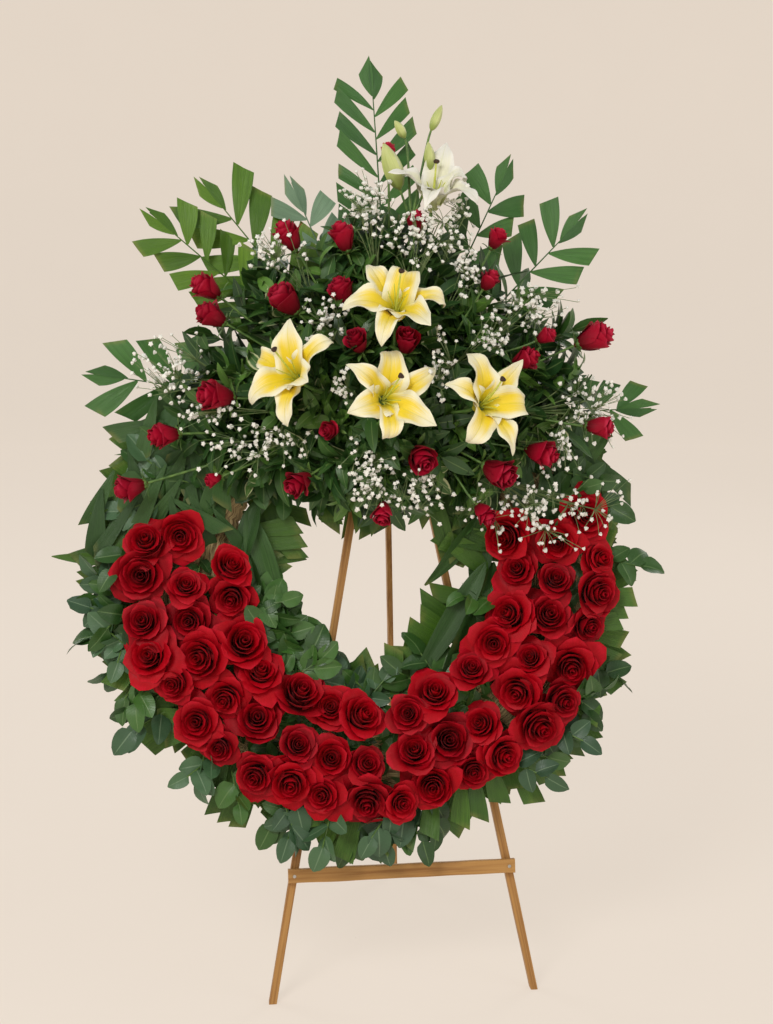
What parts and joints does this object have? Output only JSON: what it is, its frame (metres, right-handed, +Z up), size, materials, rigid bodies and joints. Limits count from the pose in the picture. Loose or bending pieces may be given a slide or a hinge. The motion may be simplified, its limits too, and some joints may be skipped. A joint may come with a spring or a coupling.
{
  "type": "funeral wreath",
  "caption": "Ring of red roses bedded in leaves with a spray of palm fronds, lilies, roses and gypsophila over its top, on a leaning wooden tripod easel.",
  "frame": {"origin": "bottom centre of the whole object's box, on the surface the easel stands on", "axes": "+Z up, +X to the right as seen from the front, +Y to the back, towards the rear leg"},
  "size_m": [1.0686, 0.6346, 1.6188],
  "materials": {
    "pine": "planed pine, satin",
    "steel": "zinc-plated wire, nails and bracket",
    "straw": "bound straw, matte",
    "palm": "palm leaf, satin",
    "leaf": "glossy dark leaf",
    "rose": "velvety red petal",
    "lily": "waxy yellow petal with a white edge",
    "lily_bud": "waxy green-yellow bud",
    "foam": "wet flower foam",
    "tray": "dark green plastic",
    "gypsophila": "small white flowers on thin green twigs"
  },
  "bodies": {
    "front_frame": {"front_leg_left": "pine", "front_leg_right": "pine", "crossbar": "pine", "hinge_rail": "pine", "crossbar_nail_left": "steel", "crossbar_nail_right": "steel", "rail_nail_left": "steel", "rail_nail_right": "steel", "wreath_hook": "steel", "hanging_wire": "steel", "hinge_bracket": "steel", "bracket_screw_lower": "steel", "bracket_screw_upper": "steel", "hinge_bolt": "steel", "hinge_nut": "steel", "straw_ring": "straw", "outer_palm_collar": "palm", "inner_palm_collar": "palm", "leaf_bed": "leaf", "ring_roses_1": "rose", "ring_roses_2": "rose", "ring_roses_3": "rose", "ring_roses_4": "rose", "ring_roses_5": "rose", "ring_roses_6": "rose", "ring_roses_7": "rose", "ring_roses_8": "rose", "ring_roses_9": "rose", "foam_tray": "tray", "foam_block": "foam", "spray_greenery": "leaf", "palm_frond_top": "palm", "palm_frond_top_left": "palm", "palm_frond_upper_left": "palm", "palm_frond_left": "palm", "palm_frond_low_left": "palm", "palm_frond_top_right": "palm", "palm_frond_upper_right": "palm", "palm_frond_low_right": "palm", "lily_upper": "lily", "lily_left": "lily", "lily_lower": "lily", "lily_right": "lily", "lily_top": "lily", "lily_buds": "lily_bud", "spray_roses_crown": "rose", "spray_roses_top_right": "rose", "spray_roses_top_left": "rose", "spray_roses_left": "rose", "spray_roses_far_left": "rose", "spray_roses_middle": "rose", "spray_roses_low": "rose", "spray_roses_right": "rose", "spray_roses_low_right": "rose", "gypsophila_left": "gypsophila", "gypsophila_top": "gypsophila", "gypsophila_right": "gypsophila"},
    "rear_strut": {"rear_leg": "pine"}
  },
  "joints": [
    {"name": "rear_leg_hinge", "type": "hinge", "parent": "front_frame", "child": "rear_strut", "pos_m": [0.06072, 0.03064, 1.08517], "axis": [0.9986, 0.0109, 0.0512], "range_deg": [-28, 0]}
  ]
}
